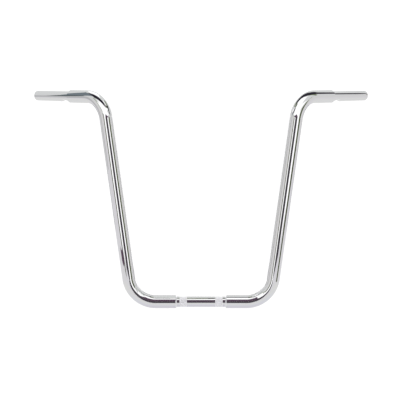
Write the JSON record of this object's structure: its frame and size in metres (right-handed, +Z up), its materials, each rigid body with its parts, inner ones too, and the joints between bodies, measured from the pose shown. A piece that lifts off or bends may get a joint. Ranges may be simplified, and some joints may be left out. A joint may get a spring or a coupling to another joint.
{
  "type": "motorcycle ape-hanger handlebar",
  "caption": "Tall chromed motorcycle handlebar: bent fat tube legs welded to a slimmer knurled clamp tube and slimmer swept-back grip tubes with wiring dimples.",
  "frame": {"origin": "middle of the clamp tube, on its centreline", "axes": "+X along the clamp tube to the rider's left, +Z up the legs, +Y back towards the rider, the way the grip tubes sweep"},
  "size_m": [0.8616, 0.1811, 0.5398],
  "materials": {
    "clamp_chrome": "polished chrome plate with two rolled knurled bands",
    "leg_chrome": "mirror-polished chrome plate",
    "grip_chrome": "polished chrome plate, bare steel inside the bore",
    "weld_chrome": "chrome plate over a ground weld",
    "plug_chrome": "chrome plate over a weld dressed flush"
  },
  "bodies": {
    "root": {"clamp_tube": "clamp_chrome", "left_clamp_lower_plug_weld": "plug_chrome", "left_clamp_upper_plug_weld": "plug_chrome", "left_clamp_weld": "weld_chrome", "left_grip_lower_plug_weld": "plug_chrome", "left_grip_tube": "grip_chrome", "left_grip_upper_plug_weld": "plug_chrome", "left_grip_weld": "weld_chrome", "left_leg": "leg_chrome", "right_clamp_lower_plug_weld": "plug_chrome", "right_clamp_upper_plug_weld": "plug_chrome", "right_clamp_weld": "weld_chrome", "right_grip_lower_plug_weld": "plug_chrome", "right_grip_tube": "grip_chrome", "right_grip_upper_plug_weld": "plug_chrome", "right_grip_weld": "weld_chrome", "right_leg": "leg_chrome"}
  },
  "joints": []
}
